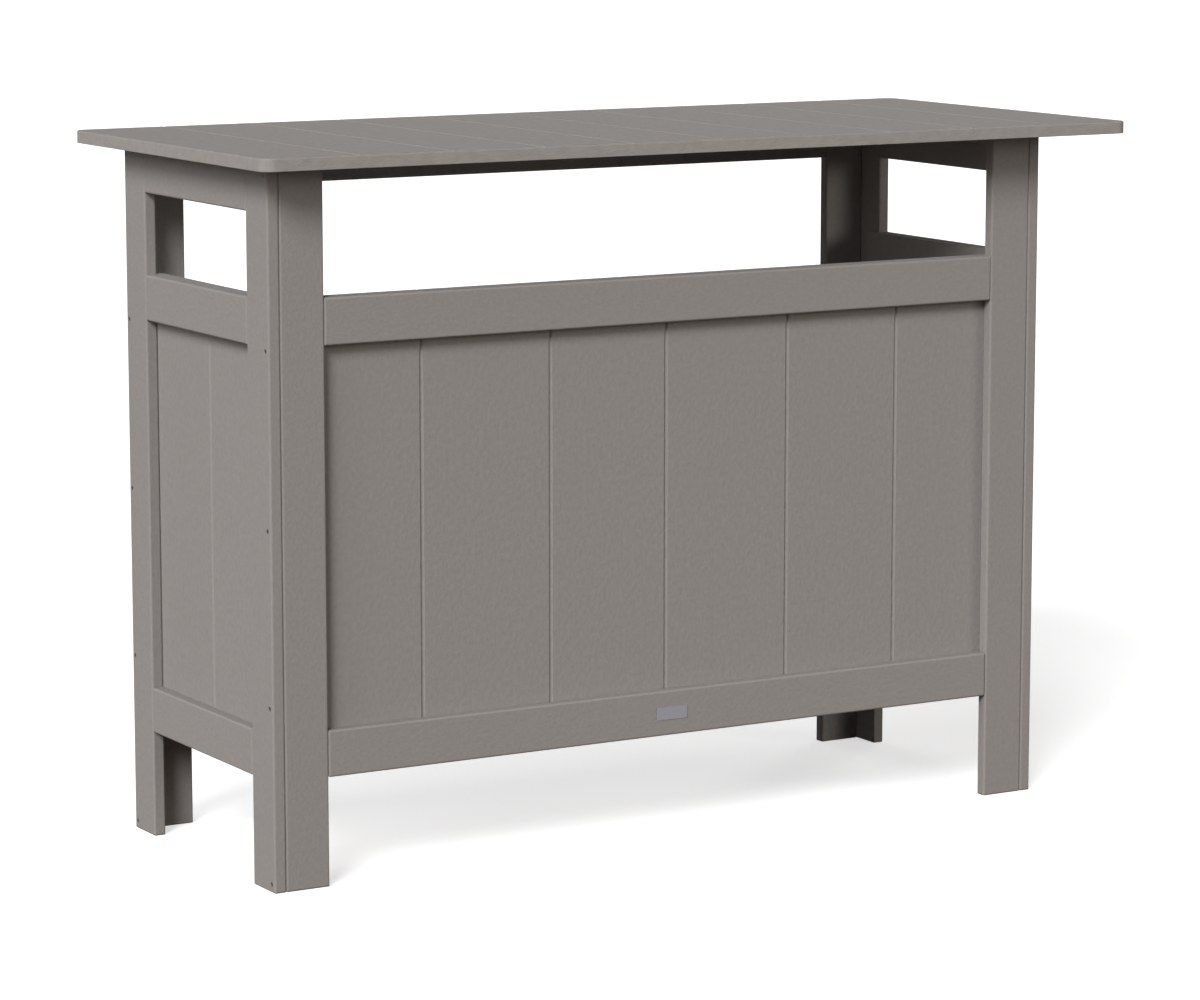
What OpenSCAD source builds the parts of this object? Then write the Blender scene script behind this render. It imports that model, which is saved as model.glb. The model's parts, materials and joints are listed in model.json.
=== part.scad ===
/* [Overall] */
// Height from the ground to the face of the top
total_h = 1067; // [900:1:1300]
// Width across the legs
base_w = 1337; // [1100:1:1700]
// Depth across the legs
base_d = 485; // [400:1:600]

/* [Top] */
// Thickness of the top
top_t = 19; // [16:0.5:30]
// Reach of the top past the legs on the left
overhang_left = 45.5; // [20:0.5:150]
// Reach of the top past the legs on the right
overhang_right = 108.5; // [20:0.5:150]
// Reach of the top past the legs in front
overhang_front = 84; // [20:0.5:150]
// Reach of the top past the legs behind
overhang_back = 84; // [20:0.5:150]
// Radius of the top's four corners in plan
top_corner_r = 19; // [10:1:90]
// Radius of the round-over along the top's upper edges
top_edge_r = 2.4; // [0.5:0.1:5]
// Radius of the round-over along the top's lower edges
under_edge_r = 1; // [0.5:0.1:5]
// Number of equal bays that the milled lines part the top into
top_bays = 10; // [4:2:14]
// Width of a milled line
top_line_w = 5; // [3:0.5:8]
// Depth of a milled line
top_line_d = 1.8; // [0.8:0.1:3]

/* [Frame] */
// Thickness of the legs and rails
board_t = 19; // [15:0.5:25]
// Width of each of a leg's two boards, as seen
leg_w = 70; // [55:1:90]
// Height of the low and middle rails
rail_w = 69; // [50:1:90]
// Height of the rails right under the top
top_rail_w = 67; // [50:1:90]
// Clear height of the openings under the top rails
window_h = 122; // [90:1:200]
// Height of the low rails above the ground
low_rail_z = 162; // [100:1:250]
// Radius of the round-over on the edges of the other boards
edge_r = 3.2; // [1:0.1:5]

/* [Panels] */
// Thickness of the panel boards
panel_t = 12.7; // [10:0.1:16]
// Face width of a whole panel board
plank_w = 414.5; // [360:0.5:500]
// Distance from a panel board's slotted edge to its own milled line
plank_line = 215.5; // [150:0.5:260]
// Width of a V-groove in the panel boards
vee_w = 6.5; // [3:0.5:10]
// Depth of a V-groove in the panel boards
vee_d = 2.8; // [1:0.1:3.5]
// Thickness of the tongue between panel boards
tongue_t = 4; // [3:0.1:5]
// Length of the tongue between panel boards
tongue_l = 6; // [4:0.5:10]
// Play round the tongue and at the ends of the panels and shelves
fit_gap = 0.4; // [0.2:0.1:0.8]
// Step from the low rails' lower edge up to the panels' lower edge
panel_lift = 6; // [2:1:10]
// Open slot between each side panel and the rear leg
side_slot = 33; // [10:1:45]

/* [Shelves] */
// Thickness of the shelves
shelf_t = 19; // [15:0.5:25]
// Height of the middle shelf's face above the ground
middle_shelf_z = 500; // [420:1:560]
// Height of the apron under the middle shelf's open edge
apron_w = 69; // [50:1:90]

/* [Cleats] */
// Width of a cleat
cleat_w = 38; // [30:1:50]
// Thickness of a cleat
cleat_t = 19; // [15:0.5:25]
// Gap at a cleat's end, where it meets the screw heads of another cleat
cleat_gap = 12; // [8:1:20]
// Width of the stiffener under the middle of the top
stiffener_w = 70; // [50:1:90]
// Distance from the front of the legs back to the stiffener
stiffener_back = 150; // [120:1:200]

/* [Screws] */
// Shank diameter of every screw
screw_d = 4; // [3:0.1:5]
// Head diameter of the sunk screws
sunk_head_d = 6.8; // [5:0.1:8]
// Head height of the sunk screws
sunk_head_h = 3; // [2:0.1:4]
// Depth of the sunk heads below the surface
sunk_depth = 0.8; // [0.2:0.1:2]
// Head diameter of the raised screws
raised_head_d = 8; // [6.5:0.1:10]
// Head height of the raised screws
raised_head_h = 2.4; // [1.5:0.1:3.5]
// Play round a screw in its hole
screw_play = 0.1; // [0.05:0.05:0.3]
// Width of the square drive in a screw's head
drive_w = 2; // [1.5:0.1:2.5]
// Depth of the square drive
drive_depth = 1.4; // [0.8:0.1:1.8]
// Length of a screw's pointed tip
tip_l = 4; // [2:0.5:6]
// Depth that a screw bites into a frame board, the top or a cleat
bite = 14; // [9:0.5:14]
// Depth that a short screw bites into a panel board
panel_bite = 9; // [5:0.5:9.5]
// Depth that a leg screw bites into the edge of the board behind it
leg_bite = 26; // [15:1:40]
// Height of the panels' upper row of screws above the middle rails' lower edge
panel_screw_rise = 12; // [10:1:40]
// Distance of the front panel boards' screws from the boards' edges
panel_screw_inset = 42; // [25:1:80]
// Distance of a leg's end screws from its ends
leg_screw_end = 12.5; // [10:0.5:25]
// Spacing of the leg screws, counted up from the lowest
leg_screw_pitch = 258; // [180:1:300]

/* [Plate] */
// Width of the blank plate on the low front rail
plate_w = 54.5; // [40:0.5:80]
// Height of the blank plate
plate_h = 20; // [12:0.5:30]
// Thickness of the blank plate
plate_t = 0.8; // [0.5:0.1:1.5]
// Radius of the plate's corners
plate_r = 1.5; // [0.5:0.1:3]

/* [Hidden] */
$fn = 48;
eps = 1;
plastic = [0.56, 0.54, 0.52];
steel = [0.72, 0.72, 0.73];
silver = [0.66, 0.67, 0.7];

// Half width and half depth across the legs, and where their centre lies under the top
hw = base_w / 2;
hd = base_d / 2;
base_x = (overhang_left - overhang_right) / 2;
base_y = (overhang_front - overhang_back) / 2;
leg_h = total_h - top_t;
top_w = base_w + overhang_left + overhang_right;
top_d = base_d + overhang_front + overhang_back;

// Heights of the rails, panels and cleats
top_rail_z = leg_h - top_rail_w;
mid_rail_z = top_rail_z - window_h - rail_w;
panel_z0 = low_rail_z + panel_lift;
panel_z1 = mid_rail_z + rail_w;
bottom_shelf_z = low_rail_z + rail_w;
top_cleat_z = leg_h - cleat_t;

// Inner faces of the frame boards, of the panels and of the cleats on the panels
frame_x = hw - board_t;
frame_y = hd - board_t;
inner_x = frame_x - panel_t;
front_y = -frame_y + panel_t;
cleat_x = inner_x - cleat_t;
side_panel_y = frame_y - side_slot;
leg_edge_x = frame_x - leg_w;
leg_edge_y = hd - leg_w;
top_cleat_x = frame_x - cleat_w;
top_cleat_y = frame_y - cleat_w;
cleat_end_x = cleat_x - cleat_gap;
top_end_x = top_cleat_x - cleat_gap;

// Edges of the four front panel boards, from left to right
plank_x = [-inner_x + fit_gap, -plank_w, 0, plank_w, inner_x - fit_gap];
plank_count = len(plank_x) - 1;

function spread(a, b, n) = [for (i = [0:n - 1]) a + (b - a) * i / (n - 1)];
function middles(v) = [for (i = [0:len(v) - 2]) (v[i] + v[i + 1]) / 2];
function low(a, b) = [for (i = [0:2]) min(a[i], b[i])];
function high(a, b) = [for (i = [0:2]) max(a[i], b[i])];

// Places of the screws along the boards
sides = [-1, 1];
last_gap = 30;
leg_rows = floor((leg_h - 2 * leg_screw_end - last_gap) / leg_screw_pitch);
leg_screw_z = concat([for (i = [0:leg_rows]) leg_screw_end + i * leg_screw_pitch], [leg_h - leg_screw_end]);
plank_screw_x = [for (i = [0:plank_count - 1]) for (x = [plank_x[i] + panel_screw_inset,
    plank_x[i + 1] - panel_screw_inset]) x];
leg_fix_x = leg_edge_x + leg_w / 2;
front_fix_y = (front_y - leg_edge_y) / 2;
rear_fix_y = (leg_edge_y + side_panel_y) / 2;
side_screw_y = spread(front_fix_y, rear_fix_y, 4);
rear_screw_x = spread(-leg_fix_x, leg_fix_x, 5);
top_fix_x = (leg_edge_x + top_end_x) / 2;
top_fix_y = (leg_edge_y + frame_y) / 2;
top_rear_x = spread(-top_fix_x, top_fix_x, 5);
top_side_y = spread(-top_fix_y, top_fix_y, 4);
mid_row = mid_rail_z + panel_screw_rise;
low_row = bottom_shelf_z - shelf_t - cleat_w / 2;
middle_row = middle_shelf_z - shelf_t - cleat_w / 2;
lower_bay_row = (bottom_shelf_z + middle_row) / 2;
upper_bay_row = (middle_shelf_z + mid_rail_z) / 2;
top_row = leg_h - cleat_t / 2;

// Each screw is its seat, its direction, its length under the head and whether its head is sunk
leg_screw_list = [for (s = sides, e = sides, z = leg_screw_z)
    [[s * hw, e * (hd - board_t / 2), z], [-s, 0, 0], board_t + leg_bite, true]];
panel_screw_list = concat(
    [for (x = plank_screw_x) [[x, front_y, mid_row], [0, -1, 0], panel_t + bite, false]],
    [for (x = [plank_screw_x[0], plank_screw_x[2 * plank_count - 1]], z = [lower_bay_row, upper_bay_row])
        [[x, front_y, z], [0, -1, 0], panel_t + bite, false]],
    [for (s = sides, y = side_screw_y) [[s * inner_x, y, mid_row], [s, 0, 0], panel_t + bite, false]],
    [for (s = sides, y = [front_fix_y, rear_fix_y], z = [lower_bay_row, upper_bay_row])
        [[s * inner_x, y, z], [s, 0, 0], panel_t + bite, false]]
);
cleat_screw_list = concat(
    [for (x = plank_screw_x) [[x, front_y + cleat_t, low_row], [0, -1, 0], cleat_t + panel_t + bite, false]],
    [for (i = [0:2 * plank_count - 1]) [[plank_screw_x[i], front_y + cleat_t, middle_row], [0, -1, 0],
        cleat_t + (i == 0 || i == 2 * plank_count - 1 ? panel_t + bite : panel_bite), false]],
    [for (s = sides, y = side_screw_y)
        [[s * cleat_x, y, low_row], [s, 0, 0], cleat_t + panel_t + bite, false]],
    [for (s = sides, i = [0:3]) [[s * cleat_x, side_screw_y[i], middle_row], [s, 0, 0],
        cleat_t + (i == 0 || i == 3 ? panel_t + bite : panel_bite), false]],
    [for (x = rear_screw_x) [[x, frame_y - cleat_t, low_row], [0, 1, 0], cleat_t + bite, false]],
    [for (x = top_rear_x) [[x, top_cleat_y, top_row], [0, 1, 0], cleat_w + bite, false]],
    [for (s = sides, y = top_side_y) [[s * top_cleat_x, y, top_row], [s, 0, 0], cleat_w + bite, false]]
);
top_screw_list = concat(
    [for (s = sides, y = middles(top_side_y))
        [[s * (frame_x - cleat_w / 2), y, top_cleat_z], [0, 0, 1], cleat_t + bite, false]],
    [for (x = middles(top_rear_x))
        [[x, frame_y - cleat_w / 2, top_cleat_z], [0, 0, 1], cleat_t + bite, false]],
    [for (x = middles(top_rear_x))
        [[x, -hd + stiffener_back + stiffener_w / 2, top_cleat_z], [0, 0, 1], cleat_t + bite, false]]
);
shelf_screw_list = concat(
    [for (s = sides, y = middles(side_screw_y), z = [bottom_shelf_z, middle_shelf_z])
        [[s * (inner_x - cleat_t / 2), y, z], [0, 0, -1], shelf_t + bite, true]],
    [for (x = middles(plank_x), z = [bottom_shelf_z, middle_shelf_z])
        [[x, front_y + cleat_t / 2, z], [0, 0, -1], shelf_t + bite, true]],
    [for (x = middles(rear_screw_x)) [[x, frame_y - cleat_t / 2, bottom_shelf_z], [0, 0, -1],
        shelf_t + bite, true]],
    [for (x = middles(rear_screw_x)) [[x, side_panel_y - board_t / 2, middle_shelf_z], [0, 0, -1],
        shelf_t + bite, true]]
);
all_screws = concat(leg_screw_list, panel_screw_list, cleat_screw_list, top_screw_list, shelf_screw_list);

// Rectangle with round corners, its low corner at the origin
module eased_rect(w, h, r) {
    translate([r, 0]) square([w - 2 * r, h]);
    translate([0, r]) square([w, h - 2 * r]);
    for (x = [r, w - r], y = [r, h - r]) translate([x, y]) circle(r);
}

// Bar of a drawn section that runs along X from the origin
module along_x(l) {
    rotate([90, 0, 90]) linear_extrude(l) children();
}

// Bar of a drawn section that runs along Y from the origin
module along_y(l) {
    translate([0, l, 0]) rotate([90, 0, 0]) linear_extrude(l) children();
}

// Board with every edge rounded over, its low corner at the origin
module eased_board(size) {
    intersection() {
        linear_extrude(size.z) eased_rect(size.x, size.y, edge_r);
        along_y(size.y) eased_rect(size.x, size.z, edge_r);
        along_x(size.x) eased_rect(size.y, size.z, edge_r);
    }
}

// Shifts a piece from the middle of the legs to its place under the top
module on_base() {
    translate([base_x, base_y, 0]) children();
}

// Turns a piece drawn along +Z to a direction along one of the axes
module aim(way) {
    rotate([0, acos(way.z), atan2(way.y, way.x)]) children();
}

// True where a screw runs into the box between two corners
function runs_into(s, lo, hi) = let (
        tip = s[0] + s[1] * s[2],
        a = low(s[0], tip),
        b = high(s[0], tip)
    ) a.x < hi.x && b.x > lo.x && a.y < hi.y && b.y > lo.y && a.z < hi.z && b.z > lo.z;

// Holes of every screw that runs into the box between two corners
module screw_holes(lo, hi) {
    for (s = all_screws) if (runs_into(s, lo, hi)) translate(s[0]) aim(s[1]) screw_hole(s[2], s[3]);
}

// Hole for a screw driven from the origin along +Z
module screw_hole(l, sunk) {
    translate([0, 0, -eps]) cylinder(d = screw_d + 2 * screw_play, h = l + 2 * eps);
    if (sunk) translate([0, 0, -eps])
        cylinder(d = sunk_head_d + 2 * screw_play, h = sunk_depth + sunk_head_h + eps);
}

// Screw driven from the origin along +Z, with a square drive in its head
module screw(l, sunk) {
    head_z = sunk ? sunk_depth : -raised_head_h;
    head_h = sunk ? sunk_head_h : raised_head_h;
    difference() {
        union() {
            translate([0, 0, head_z]) cylinder(d = sunk ? sunk_head_d : raised_head_d, h = head_h);
            translate([0, 0, head_z + head_h / 2]) cylinder(d = screw_d, h = l - tip_l - head_z - head_h / 2);
            translate([0, 0, l - tip_l]) cylinder(d1 = screw_d, d2 = screw_d / 4, h = tip_l);
        }
        translate([-drive_w / 2, -drive_w / 2, head_z - eps]) cube([drive_w, drive_w, drive_depth + eps]);
    }
}

module screw_set(list) {
    color(steel) on_base() for (s = list) translate(s[0]) aim(s[1]) screw(s[2], s[3]);
}

// Frame board, shelf or cleat between two opposite corners, with its screw holes
module board(a, b) {
    lo = low(a, b);
    hi = high(a, b);
    color(plastic) on_base() difference() {
        translate(lo) eased_board(hi - lo);
        screw_holes(lo, hi);
    }
}

// Leg boards at the corner given by side and end: -1 is left or front, 1 is right or rear
module leg_side(side, end) {
    board([side * hw, end * hd, 0], [side * frame_x, end * leg_edge_y, leg_h]);
}

module leg_face(side, end) {
    board([side * frame_x, end * hd, 0], [side * leg_edge_x, end * frame_y, leg_h]);
}

module side_rail(side, z, h) {
    board([side * hw, -leg_edge_y, z], [side * frame_x, leg_edge_y, z + h]);
}

module cross_rail(end, z, h) {
    board([-leg_edge_x, end * hd, z], [leg_edge_x, end * frame_y, z + h]);
}

// V-groove across a face at y = 0 that faces -Y
module vee() {
    polygon([[-vee_w, -vee_d], [vee_w, -vee_d], [0, vee_d]]);
}

// Section of a panel board from x0 to x1, its outer face at y = 0, grooved on both faces
module panel_section(x0, x1, lines, slot, tongue) {
    mid_y = panel_t / 2;
    difference() {
        union() {
            translate([x0, 0]) square([x1 - x0, panel_t]);
            if (tongue) translate([x1 - tongue_l, mid_y - tongue_t / 2]) square([2 * tongue_l, tongue_t]);
        }
        for (x = lines) translate([x, 0]) vee();
        for (x = lines) translate([x, panel_t]) mirror([0, 1]) vee();
        if (slot) translate([x0 - eps, mid_y - tongue_t / 2 - fit_gap])
            square([tongue_l + fit_gap + eps, tongue_t + 2 * fit_gap]);
    }
}

// Front panel board number i, counted from 0 on the left
module front_panel(i) {
    x0 = plank_x[i];
    x1 = plank_x[i + 1];
    first = i == 0;
    last = i == plank_count - 1;
    own = (first ? x1 - plank_w : x0) + plank_line;
    lines = concat(first ? [] : [x0], last ? [] : [x1], own > x0 + vee_w && own < x1 - vee_w ? [own] : []);
    color(plastic) on_base() difference() {
        translate([0, -frame_y, panel_z0]) linear_extrude(panel_z1 - panel_z0)
            panel_section(x0, x1, lines, !first, !last);
        screw_holes([x0, -frame_y, panel_z0], [x1, front_y, panel_z1]);
    }
}

module side_panel(side) {
    lo = low([side * frame_x, -frame_y, panel_z0], [side * inner_x, side_panel_y, panel_z1]);
    hi = high([side * frame_x, -frame_y, panel_z0], [side * inner_x, side_panel_y, panel_z1]);
    color(plastic) on_base() difference() {
        translate([lo.x, lo.y, lo.z]) mirror([1, -1, 0]) linear_extrude(hi.z - lo.z)
            panel_section(0, hi.y - lo.y, [plank_line], false, false);
        screw_holes(lo, hi);
    }
}

module shelf(z, y1) {
    board([-inner_x + fit_gap, front_y + fit_gap, z - shelf_t], [inner_x - fit_gap, y1, z]);
}

module side_cleat(side, shelf_z) {
    z1 = shelf_z - shelf_t;
    board([side * inner_x, front_y, z1 - cleat_w], [side * cleat_x, side_panel_y, z1]);
}

module front_cleat(shelf_z) {
    z1 = shelf_z - shelf_t;
    board([-cleat_end_x, front_y, z1 - cleat_w], [cleat_end_x, front_y + cleat_t, z1]);
}

module top_side_cleat(side) {
    board([side * frame_x, -frame_y, top_cleat_z], [side * top_cleat_x, frame_y, leg_h]);
}

// Section across the top, w wide, its low corner at the origin
module top_section(w) {
    intersection() {
        eased_rect(w, top_t, under_edge_r);
        square([w, top_t - top_edge_r]);
    }
    intersection() {
        eased_rect(w, top_t, top_edge_r);
        translate([0, under_edge_r]) square([w, top_t - under_edge_r]);
    }
}

// Section of the top's rim, its outer edge at top_corner_r from the origin
module rim_section() {
    intersection() {
        translate([-top_corner_r, 0]) top_section(2 * top_corner_r);
        square([top_corner_r, top_t]);
    }
}

// Sheet with round corners in plan and rounded edges all round, its lower face at z = 0
module top_blank() {
    x1 = top_w / 2 - top_corner_r;
    y1 = top_d / 2 - top_corner_r;
    translate([-x1, -top_d / 2, 0]) along_x(2 * x1) top_section(top_d);
    translate([x1, -y1, 0]) along_y(2 * y1) rim_section();
    mirror([1, 0, 0]) translate([x1, -y1, 0]) along_y(2 * y1) rim_section();
    for (x = [0, 1], y = [0, 1]) mirror([x, 0, 0]) mirror([0, y, 0])
        translate([x1, y1, 0]) rotate_extrude(angle = 90) rim_section();
}

// Section of a milled line across the top's face, which lies at y = 0
module top_line() {
    polygon([[-top_line_w, top_line_d], [top_line_w, top_line_d], [0, -top_line_d]]);
}

module top() {
    bay = top_w / top_bays;
    color(plastic) difference() {
        translate([0, 0, leg_h]) top_blank();
        for (i = [1:top_bays - 1]) translate([-top_w / 2 + i * bay, -top_d / 2 - eps, total_h])
            along_y(top_d + 2 * eps) top_line();
        on_base() screw_holes([-top_w, -top_d, leg_h], [top_w, top_d, total_h]);
    }
}

module front_left_leg_side() { leg_side(-1, -1); }
module front_left_leg_face() { leg_face(-1, -1); }
module front_right_leg_side() { leg_side(1, -1); }
module front_right_leg_face() { leg_face(1, -1); }
module rear_left_leg_side() { leg_side(-1, 1); }
module rear_left_leg_face() { leg_face(-1, 1); }
module rear_right_leg_side() { leg_side(1, 1); }
module rear_right_leg_face() { leg_face(1, 1); }
module left_top_rail() { side_rail(-1, top_rail_z, top_rail_w); }
module left_middle_rail() { side_rail(-1, mid_rail_z, rail_w); }
module left_low_rail() { side_rail(-1, low_rail_z, rail_w); }
module right_top_rail() { side_rail(1, top_rail_z, top_rail_w); }
module right_middle_rail() { side_rail(1, mid_rail_z, rail_w); }
module right_low_rail() { side_rail(1, low_rail_z, rail_w); }
module front_middle_rail() { cross_rail(-1, mid_rail_z, rail_w); }
module front_low_rail() { cross_rail(-1, low_rail_z, rail_w); }
module rear_top_rail() { cross_rail(1, top_rail_z, top_rail_w); }
module rear_low_rail() { cross_rail(1, low_rail_z, rail_w); }
module front_panel_1() { front_panel(0); }
module front_panel_2() { front_panel(1); }
module front_panel_3() { front_panel(2); }
module front_panel_4() { front_panel(3); }
module left_panel() { side_panel(-1); }
module right_panel() { side_panel(1); }
module bottom_shelf() { shelf(bottom_shelf_z, frame_y); }
module middle_shelf() { shelf(middle_shelf_z, side_panel_y); }
module left_top_cleat() { top_side_cleat(-1); }
module right_top_cleat() { top_side_cleat(1); }
module left_bottom_cleat() { side_cleat(-1, bottom_shelf_z); }
module right_bottom_cleat() { side_cleat(1, bottom_shelf_z); }
module front_bottom_cleat() { front_cleat(bottom_shelf_z); }
module left_middle_cleat() { side_cleat(-1, middle_shelf_z); }
module right_middle_cleat() { side_cleat(1, middle_shelf_z); }
module front_middle_cleat() { front_cleat(middle_shelf_z); }
module leg_screws() { screw_set(leg_screw_list); }
module panel_screws() { screw_set(panel_screw_list); }
module cleat_screws() { screw_set(cleat_screw_list); }
module top_screws() { screw_set(top_screw_list); }
module shelf_screws() { screw_set(shelf_screw_list); }

module rear_bottom_cleat() {
    z1 = bottom_shelf_z - shelf_t;
    board([-inner_x, frame_y - cleat_t, z1 - cleat_w], [inner_x, frame_y, z1]);
}

module rear_top_cleat() {
    board([-top_end_x, top_cleat_y, top_cleat_z], [top_end_x, frame_y, leg_h]);
}

module top_stiffener() {
    y0 = -hd + stiffener_back;
    board([-top_end_x, y0, top_cleat_z], [top_end_x, y0 + stiffener_w, leg_h]);
}

module middle_shelf_apron() {
    z1 = middle_shelf_z - shelf_t;
    board([-cleat_end_x, side_panel_y - board_t, z1 - apron_w], [cleat_end_x, side_panel_y, z1]);
}

module blank_plate() {
    z0 = low_rail_z + (rail_w - plate_h) / 2;
    color(silver) on_base() translate([-plate_w / 2, -hd - plate_t, z0]) along_y(plate_t)
        eased_rect(plate_w, plate_h, plate_r);
}

top();
front_left_leg_side();
front_left_leg_face();
front_right_leg_side();
front_right_leg_face();
rear_left_leg_side();
rear_left_leg_face();
rear_right_leg_side();
rear_right_leg_face();
left_top_rail();
left_middle_rail();
left_low_rail();
right_top_rail();
right_middle_rail();
right_low_rail();
front_middle_rail();
front_low_rail();
rear_top_rail();
rear_low_rail();
front_panel_1();
front_panel_2();
front_panel_3();
front_panel_4();
left_panel();
right_panel();
bottom_shelf();
middle_shelf();
middle_shelf_apron();
left_top_cleat();
right_top_cleat();
rear_top_cleat();
top_stiffener();
left_bottom_cleat();
right_bottom_cleat();
front_bottom_cleat();
rear_bottom_cleat();
left_middle_cleat();
right_middle_cleat();
front_middle_cleat();
leg_screws();
panel_screws();
cleat_screws();
top_screws();
shelf_screws();
blank_plate();
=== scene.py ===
import json
import math

import bmesh
import bpy
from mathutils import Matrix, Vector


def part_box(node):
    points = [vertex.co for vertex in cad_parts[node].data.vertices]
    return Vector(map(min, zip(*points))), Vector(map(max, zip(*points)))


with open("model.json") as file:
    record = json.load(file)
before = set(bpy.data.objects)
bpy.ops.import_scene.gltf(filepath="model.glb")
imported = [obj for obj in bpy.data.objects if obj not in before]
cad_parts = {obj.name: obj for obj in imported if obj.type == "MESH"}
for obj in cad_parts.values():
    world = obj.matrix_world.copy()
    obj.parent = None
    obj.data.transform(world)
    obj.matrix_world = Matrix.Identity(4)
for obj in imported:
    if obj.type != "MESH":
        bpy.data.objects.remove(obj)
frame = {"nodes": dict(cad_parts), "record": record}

for leftOver in ("Cube", "Light", "Camera"):
    if leftOver in bpy.data.objects:
        bpy.data.objects.remove(bpy.data.objects[leftOver])
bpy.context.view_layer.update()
nodes = frame["nodes"]
recordSlots = {row["node"]: row["material_slot"] for row in frame["record"]["subparts"]}
axes = {"x": 0, "y": 1, "z": 2}
print("stage: frame loaded,", len(nodes), "boards, panels and screw sets")


# Pieces that the materials are put together from

noiseLow = 0.3  # most of a noise lies between these two
noiseHigh = 0.7


def linear(colour):
    # A colour in 0 to 255 as a screen shows it, turned by the usual curve to what a shader takes
    shares = [level / 255 for level in colour]
    return tuple(s / 12.92 if s <= 0.04045 else ((s + 0.055) / 1.055) ** 2.4 for s in shares) + (1.0,)


def newMaterial(name):
    material = bpy.data.materials.new(name)
    material.use_nodes = True
    material.node_tree.nodes.clear()
    return material, material.node_tree


def addNode(tree, kind, place, **settings):
    node = tree.nodes.new(kind)
    node.location = place
    for key, value in settings.items():
        setattr(node, key, value)
    return node


def addMath(tree, place, operation, first, second=None):
    # A Math node, each input either a number or another node's socket
    node = addNode(tree, "ShaderNodeMath", place, operation=operation)
    for slot, value in enumerate((first, second)):
        if isinstance(value, (int, float)):
            node.inputs[slot].default_value = value
        elif value is not None:
            tree.links.new(value, node.inputs[slot])
    return node.outputs[0]


def addScaled(tree, place, vector, scale):
    node = addNode(tree, "ShaderNodeMapping", place)
    node.inputs["Scale"].default_value = scale
    tree.links.new(vector, node.inputs["Vector"])
    return node.outputs["Vector"]


def addAxis(tree, place, vector, axis):
    # One of a vector's three numbers
    node = addNode(tree, "ShaderNodeSeparateXYZ", place)
    tree.links.new(vector, node.inputs["Vector"])
    return node.outputs[axes[axis]]


def addNoise(tree, place, vector, size, detail, roughness=0.5):
    # Clouds about this size across, in the vector's own units
    node = addNode(tree, "ShaderNodeTexNoise", place)
    node.inputs["Scale"].default_value = 1 / size
    node.inputs["Detail"].default_value = detail
    node.inputs["Roughness"].default_value = roughness
    tree.links.new(vector, node.inputs["Vector"])
    return node.outputs["Fac"]


def addRange(tree, place, value, low, high, newLow, newHigh):
    # Spreads low to high over newLow to newHigh
    node = addNode(tree, "ShaderNodeMapRange", place)
    for key, number in (("From Min", low), ("From Max", high), ("To Min", newLow), ("To Max", newHigh)):
        node.inputs[key].default_value = number
    tree.links.new(value, node.inputs["Value"])
    return node.outputs["Result"]


def addSpread(tree, place, noise, newLow, newHigh):
    return addRange(tree, place, noise, noiseLow, noiseHigh, newLow, newHigh)


def addTint(tree, place, colour, shade):
    # The colour times a shade that varies over the surface
    node = addNode(tree, "ShaderNodeVectorMath", place, operation="SCALE")
    node.inputs[0].default_value = linear(colour)[:3]
    tree.links.new(shade, node.inputs["Scale"])
    return node.outputs["Vector"]


def addBump(tree, place, height):
    # The height comes in metres
    node = addNode(tree, "ShaderNodeBump", place)
    node.inputs["Strength"].default_value = 1.0
    node.inputs["Distance"].default_value = 1.0
    tree.links.new(height, node.inputs["Height"])
    return node.outputs["Normal"]


def addSurface(tree, place, tint, dull, relief, **inputs):
    # Tint, roughness and relief vary over the surface, and the other inputs are the same all over
    shader = addNode(tree, "ShaderNodeBsdfPrincipled", place)
    for key, source in (("Base Color", tint), ("Roughness", dull), ("Normal", relief)):
        tree.links.new(source, shader.inputs[key])
    for key, value in inputs.items():
        shader.inputs[key.replace("_", " ")].default_value = value
    output = addNode(tree, "ShaderNodeOutputMaterial", (place[0] + 320, place[1]))
    tree.links.new(shader.outputs["BSDF"], output.inputs["Surface"])


# Moulded-through plastic board: stippled faces, calmer cut edges with the cutter's marks

boardFinish = {
    "colour": (145, 141, 138),
    "mottleSize": 0.045,  # metres, pale and dark clouds in the plastic
    "mottleDetail": 3.0,
    "mottleDepth": 0.003,  # share of the colour
    "grainSize": 0.0055,  # metres, the stipple of the faces
    "grainDetail": 2.0,
    "grainRoughness": 0.55,
    "grainStretch": 1.2,  # the stipple is this much longer along the board
    "grainShade": 0.045,  # share of the colour
    "grainHeight": 0.0006,  # metres
    "fineSize": 0.0011,  # metres, a finer stipple on top
    "fineDetail": 2.0,
    "fineHeight": 0.00003,  # metres
    "faceTurn": (0.45, 0.8),  # 0 on a cut edge and 1 on a face: the stipple grows between these
    "edgeCalm": 0.5,  # how much of the stipple is left on a cut edge
    "edgeTurn": (0.6, 0.95),  # the cutter's marks, and the paler edge with its painted highlight, fade between these
    "edgePaleAndHighlight": 0.0,  # a cut edge and its rounded arris are this much paler: partly a paler cut surface, partly painted highlight
    "streakLength": 0.014,  # metres, short streaks along a cut edge
    "streakWidth": 0.0022,  # metres
    "streakDetail": 2.0,
    "streakHeight": 0.0002,  # metres
    "toolMarkPitch": 0.0016,  # metres, even ripples across a cut edge
    "toolMarkHeight": 0.000012,  # metres
    "roughness": (0.74, 0.84),
    "gloss": 0.03,  # how strongly it mirrors, where 0.5 is usual
    "ior": 1.5,
}
panelFinish = dict(boardFinish, grainSize=0.007, grainShade=0.048, grainHeight=0.00068)
topFinish = dict(
    boardFinish,
    grainSize=0.012,
    grainShade=0.055,
    grainHeight=0.0019,
    edgeCalm=0.35,
    edgePaleAndHighlight=0.1,
    # The top's rim and rounded arrises are painted paler: partly a paler cut surface, partly painted
    # highlight
    streakLength=0.006,
    streakWidth=0.002,
    streakHeight=0.0006,
)
boardFinishes = {"board_plastic": boardFinish, "panel_plastic": panelFinish}


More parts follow.
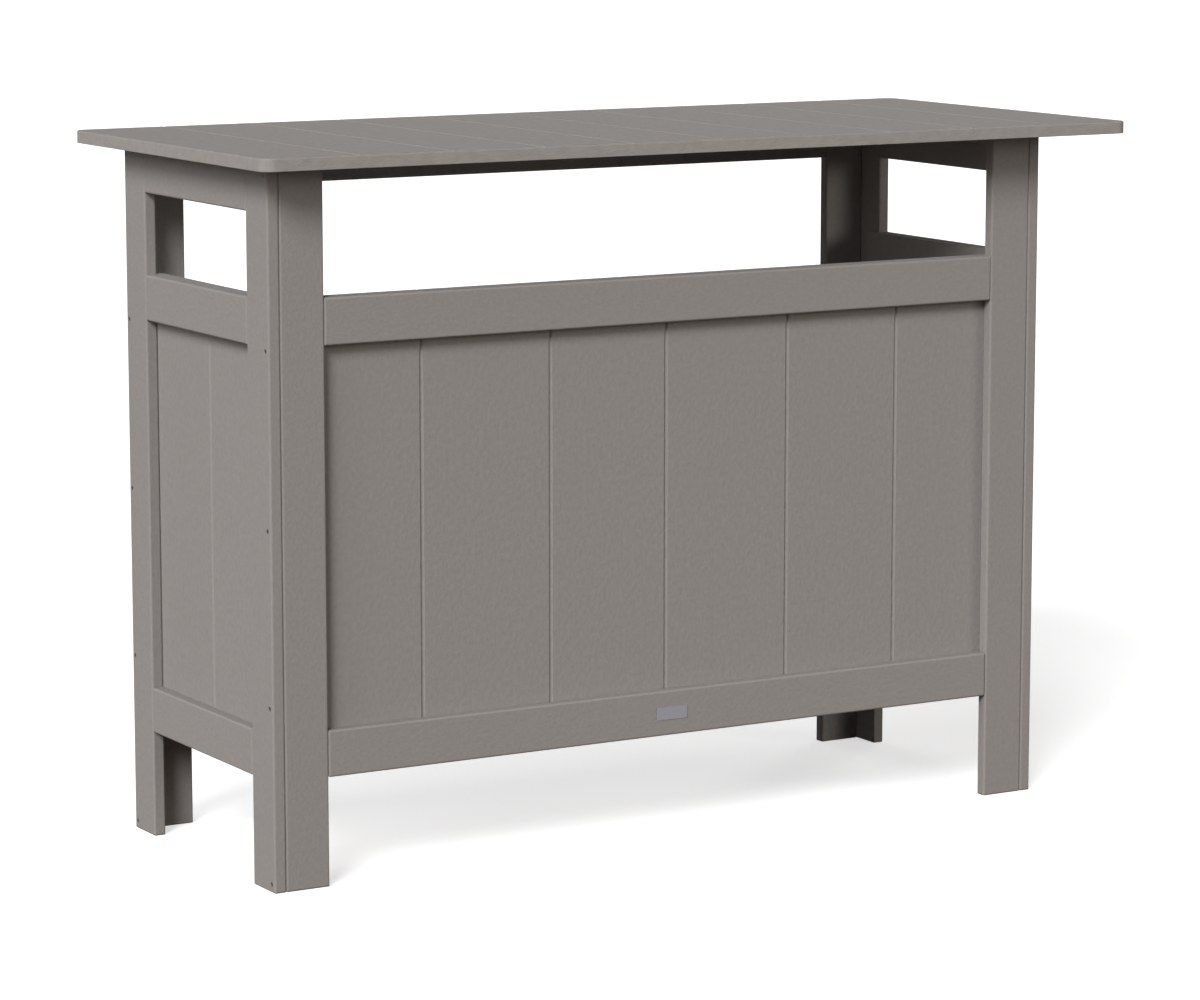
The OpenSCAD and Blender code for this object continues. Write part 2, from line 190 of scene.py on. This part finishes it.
def boardAxes(node):
    # A board's length is its longest way across and its thickness the shortest
    low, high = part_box(node)
    order = sorted(axes, key=lambda axis: (high - low)[axes[axis]])
    return order[2], order[0]


def cutterMarks(tree, position, finish, lengthAxis):
    # Short streaks along a cut edge and even ripples across it
    drawn = [1 / finish["streakWidth"]] * 3
    drawn[axes[lengthAxis]] = 1 / finish["streakLength"]
    edgewise = addScaled(tree, (-1300, -1000), position, drawn)
    streak = addNoise(tree, (-1100, -1000), edgewise, 1.0, finish["streakDetail"])
    streaks = addMath(tree, (-700, -1000), "MULTIPLY", streak, finish["streakHeight"])
    ripplesPerMetre = 2 * math.pi / finish["toolMarkPitch"]
    distance = addAxis(tree, (-1300, -800), position, lengthAxis)
    turns = addMath(tree, (-1100, -800), "MULTIPLY", distance, ripplesPerMetre)
    wave = addMath(tree, (-900, -800), "SINE", turns)
    ripples = addMath(tree, (-700, -800), "MULTIPLY", wave, finish["toolMarkHeight"])
    return addMath(tree, (-500, -900), "ADD", ripples, streaks)


def plasticMaterial(name, finish, lengthAxis, thicknessAxis):
    material, tree = newMaterial(name)
    place = addNode(tree, "ShaderNodeTexCoord", (-1500, 0))
    position = place.outputs["Object"]
    stretch = [1.0, 1.0, 1.0]
    stretch[axes[lengthAxis]] = 1 / finish["grainStretch"]
    along = addScaled(tree, (-1300, 100), position, stretch)

    facing = addAxis(tree, (-1300, -350), place.outputs["Normal"], thicknessAxis)
    squareOn = addMath(tree, (-1100, -350), "ABSOLUTE", facing)
    onFace = addRange(tree, (-900, -350), squareOn, *finish["faceTurn"], finish["edgeCalm"], 1.0)
    onEdge = addRange(tree, (-900, -600), squareOn, *finish["edgeTurn"], 1.0, 0.0)

    mottle = addNoise(tree, (-1100, 450), along, finish["mottleSize"], finish["mottleDetail"])
    grain = addNoise(
        tree, (-1100, 250), along, finish["grainSize"], finish["grainDetail"], finish["grainRoughness"]
    )
    fine = addNoise(tree, (-1100, 50), along, finish["fineSize"], finish["fineDetail"])

    mottleDepth = finish["mottleDepth"]
    grainDepth = finish["grainShade"]
    mottleShade = addSpread(tree, (-900, 450), mottle, 1 - mottleDepth, 1 + mottleDepth)
    grainShade = addSpread(tree, (-900, 250), grain, 1 - grainDepth, 1 + grainDepth)
    # Cut edges and their rounded arrises made paler: partly a paler cut surface, partly painted
    # highlight
    edgePaleAndHighlightShade = addRange(tree, (-700, -600), onEdge, 0.0, 1.0, 1.0, 1 + finish["edgePaleAndHighlight"])
    cloudy = addMath(tree, (-700, 350), "MULTIPLY", mottleShade, grainShade)
    shade = addMath(tree, (-550, 350), "MULTIPLY", cloudy, edgePaleAndHighlightShade)
    tint = addTint(tree, (-400, 350), finish["colour"], shade)
    dull = addSpread(tree, (-700, 100), grain, *finish["roughness"])

    coarse = addMath(tree, (-700, -100), "MULTIPLY", grain, finish["grainHeight"])
    small = addMath(tree, (-700, -250), "MULTIPLY", fine, finish["fineHeight"])
    stipple = addMath(tree, (-500, -150), "ADD", coarse, small)
    calmed = addMath(tree, (-350, -200), "MULTIPLY", stipple, onFace)
    cut = cutterMarks(tree, position, finish, lengthAxis)
    edgeMarks = addMath(tree, (-350, -700), "MULTIPLY", cut, onEdge)
    height = addMath(tree, (-200, -300), "ADD", calmed, edgeMarks)
    relief = addBump(tree, (-50, -200), height)
    gloss = {"IOR": finish["ior"], "Specular_IOR_Level": finish["gloss"]}
    addSurface(tree, (200, 200), tint, dull, relief, Metallic=0.0, **gloss)
    return material


def dress(node, material):
    nodes[node].material_slots[0].material = material


plastics = {}
for node, slotName in recordSlots.items():
    if slotName in boardFinishes:
        way = boardAxes(node)
        name = slotName + "_" + "".join(way)
        if name not in plastics:
            plastics[name] = plasticMaterial(name, boardFinishes[slotName], *way)
        dress(node, plastics[name])
dress("top", plasticMaterial("board_plastic_top", topFinish, *boardAxes("top")))
print("stage: plastic on the boards, in", len(plastics), "ways round, and on the top")


# Screws of dull steel, coloured dark as painted shade for the recess round each sunk head

screwFinish = {
    # Painted shade: the steel is this dark so the sunk heads read as shadowed recesses
    "colour": (88, 84, 80),
    "cloudSize": 0.0016,  # metres
    "cloudShade": (0.93, 1.05),  # times the colour
    "scratchSize": 0.0004,  # metres
    "scratchHeight": 0.000004,  # metres
    "detail": 2.0,
    "roughness": (0.28, 0.42),
}


def screwMaterial(finish):
    material, tree = newMaterial("screw_steel_painted_shade")
    position = addNode(tree, "ShaderNodeTexCoord", (-900, 0)).outputs["Object"]
    cloud = addNoise(tree, (-700, 150), position, finish["cloudSize"], finish["detail"])
    scratch = addNoise(tree, (-700, -100), position, finish["scratchSize"], finish["detail"])
    shade = addSpread(tree, (-500, 250), cloud, *finish["cloudShade"])
    tint = addTint(tree, (-300, 250), finish["colour"], shade)
    dull = addSpread(tree, (-500, 50), cloud, *finish["roughness"])
    height = addMath(tree, (-500, -150), "MULTIPLY", scratch, finish["scratchHeight"])
    relief = addBump(tree, (-300, -150), height)
    addSurface(tree, (0, 100), tint, dull, relief, Metallic=1.0)
    return material


screwSteel = screwMaterial(screwFinish)
for node, slotName in recordSlots.items():
    if slotName == "screw_steel":
        dress(node, screwSteel)
print("stage: steel on the screws")


# Bare plate of brushed aluminium on the low front rail

plateFinish = {
    "colour": (116, 115, 121),
    "strokeWidth": 0.00025,  # metres
    "strokeLength": 0.03,  # metres, along the rail
    "strokeDetail": 3.0,
    "strokeShade": (0.94, 1.05),  # times the colour
    "strokeHeight": 0.000003,  # metres
    "roughness": (0.34, 0.46),
}


def plateMaterial(finish):
    material, tree = newMaterial("plate_brushed_aluminium")
    position = addNode(tree, "ShaderNodeTexCoord", (-1100, 0)).outputs["Object"]
    drawn = (1 / finish["strokeLength"], 1.0, 1 / finish["strokeWidth"])
    strokes = addScaled(tree, (-900, 0), position, drawn)
    stroke = addNoise(tree, (-700, 0), strokes, 1.0, finish["strokeDetail"])
    shade = addSpread(tree, (-500, 200), stroke, *finish["strokeShade"])
    tint = addTint(tree, (-300, 200), finish["colour"], shade)
    dull = addSpread(tree, (-500, 0), stroke, *finish["roughness"])
    height = addMath(tree, (-500, -200), "MULTIPLY", stroke, finish["strokeHeight"])
    relief = addBump(tree, (-300, -200), height)
    addSurface(tree, (0, 100), tint, dull, relief, Metallic=1.0)
    return material


dress("blank_plate", plateMaterial(plateFinish))
print("stage: aluminium on the plate")


# Floor, white round the object but for its soft shadow

floorLook = {
    "radius": 60.0,  # metres
    "corners": 96,
    "glow": 0.62,  # what the camera sees of the floor even in shadow
    "pale": (232, 232, 232),
    "bounce": (100, 88, 78),  # what the floor throws back at the object
}


def seenDirectly(tree, place):
    # 1 for the camera's rays, and for those that metal reflects or that glass lets through
    rays = addNode(tree, "ShaderNodeLightPath", place)
    seen = rays.outputs["Is Camera Ray"]
    for step, kind in enumerate(("Is Glossy Ray", "Is Transmission Ray"), start=1):
        seen = addMath(tree, (place[0] + 200 * step, place[1]), "MAXIMUM", seen, rays.outputs[kind])
    return seen


def addChoice(tree, seen, unseenLook, seenLook, outputKind):
    # What shows where seen is 1 and what only lights where it is 0
    mix = addNode(tree, "ShaderNodeMixShader", (0, 0))
    for slot, source in enumerate((seen, unseenLook, seenLook)):
        tree.links.new(source, mix.inputs[slot])
    output = addNode(tree, outputKind, (200, 0))
    tree.links.new(mix.outputs[0], output.inputs["Surface"])


def addDiffuse(tree, place, colour):
    node = addNode(tree, "ShaderNodeBsdfDiffuse", place)
    node.inputs["Color"].default_value = linear(colour)
    return node.outputs[0]


def buildFloor(look):
    shape = bmesh.new()
    bmesh.ops.create_circle(shape, cap_ends=True, segments=look["corners"], radius=look["radius"])
    mesh = bpy.data.meshes.new("studio_floor")
    shape.to_mesh(mesh)
    shape.free()
    floor = bpy.data.objects.new("studio_floor", mesh)
    bpy.context.scene.collection.objects.link(floor)
    material, tree = newMaterial("studio_floor_white")
    seen = seenDirectly(tree, (-800, 300))
    bounce = addDiffuse(tree, (-400, 100), look["bounce"])
    pale = addDiffuse(tree, (-400, -50), look["pale"])
    glow = addNode(tree, "ShaderNodeEmission", (-400, -200))
    glow.inputs["Strength"].default_value = look["glow"]
    lit = addNode(tree, "ShaderNodeAddShader", (-200, -100))
    tree.links.new(pale, lit.inputs[0])
    tree.links.new(glow.outputs[0], lit.inputs[1])
    addChoice(tree, seen, bounce, lit.outputs[0], "ShaderNodeOutputMaterial")
    mesh.materials.append(material)
    return floor


buildFloor(floorLook)
print("stage: floor")


# Soft, plain light

skyLook = {
    "strength": 0.02,
    "colour": (255, 253, 250),
}
skyWhite = (255, 255, 255)  # behind the object, at a strength of 1


def addBackground(tree, place, colour, strength):
    node = addNode(tree, "ShaderNodeBackground", place)
    node.inputs["Color"].default_value = linear(colour)
    node.inputs["Strength"].default_value = strength
    return node.outputs[0]


def buildSky(look):
    world = bpy.data.worlds.new("studio_sky")
    bpy.context.scene.world = world
    world.use_nodes = True
    tree = world.node_tree
    tree.nodes.clear()
    seen = seenDirectly(tree, (-800, 200))
    light = addBackground(tree, (-200, 100), look["colour"], look["strength"])
    white = addBackground(tree, (-200, -50), skyWhite, 1.0)
    addChoice(tree, seen, light, white, "ShaderNodeOutputWorld")


buildSky(skyLook)

lampSpread = 22  # degrees across, as wide as a large softbox
lampWhite = (255, 255, 255)
lampWarm = (255, 243, 229)
# Turn is in degrees to the left of straight in front, height in degrees above the ground, and power in
# watts a square metre. A lamp that doesn't shine makes no highlight.
lampLook = {
    "key": {"turn": 48, "height": 34, "power": 2.7, "shines": True},
    "sideHigh": {"turn": 84, "height": 45, "power": 0.2, "shines": True},
    "side": {"turn": 84, "height": 25, "power": 0.68, "shines": True},
    "sideLow": {"turn": 68, "height": 10, "power": 0.5, "shines": True},
    "rightFill": {"turn": -30, "height": 12, "power": 0.32, "shines": True},
    "rightWarm": {"turn": -45, "height": 12, "power": 0.55, "shines": True, "colour": lampWarm},
    "rearFill": {"turn": -125, "height": 12, "power": 1.0, "shines": False},
    "backFill": {"turn": 180, "height": 9, "power": 1.1, "shines": False},
}


def aim(holder, turn, height):
    # Faces in from this many degrees to the left of the front, tilted down by height in degrees
    holder.rotation_euler = (math.radians(90 - height), 0.0, math.radians(-turn))


def buildLamp(name, look):
    # A far, wide lamp, which lights the whole bar alike
    lamp = bpy.data.lights.new(name, "SUN")
    lamp.angle = math.radians(lampSpread)
    lamp.energy = look["power"]
    lamp.color = linear(look.get("colour", lampWhite))[:3]
    holder = bpy.data.objects.new(name, lamp)
    bpy.context.scene.collection.objects.link(holder)
    holder.visible_glossy = look["shines"]
    aim(holder, look["turn"], look["height"])


for name, look in lampLook.items():
    buildLamp(name, look)
print("stage: light from the sky and", len(lampLook), "lamps")


# Camera at the photograph's viewing angle, for an image of 1200 by 1000

cameraLook = {
    "place": (-3.3452, -5.6787, 1.5323),  # metres
    "turn": 30.39,  # degrees to the left of straight in front
    "tilt": 9.02,  # degrees down
    "lens": 128.95,  # millimetres, as is the sensor's width
    "sensor": 36.0,
    "clip": (0.1, 200.0),  # metres
}


def buildCamera(look):
    camera = bpy.data.cameras.new("camera")
    camera.lens = look["lens"]
    camera.sensor_width = look["sensor"]
    camera.clip_start, camera.clip_end = look["clip"]
    holder = bpy.data.objects.new("camera", camera)
    bpy.context.scene.collection.objects.link(holder)
    holder.location = look["place"]
    aim(holder, look["turn"], look["tilt"])
    bpy.context.scene.camera = holder


buildCamera(cameraLook)
bpy.context.scene.view_settings.view_transform = "Standard"
print("stage: camera")
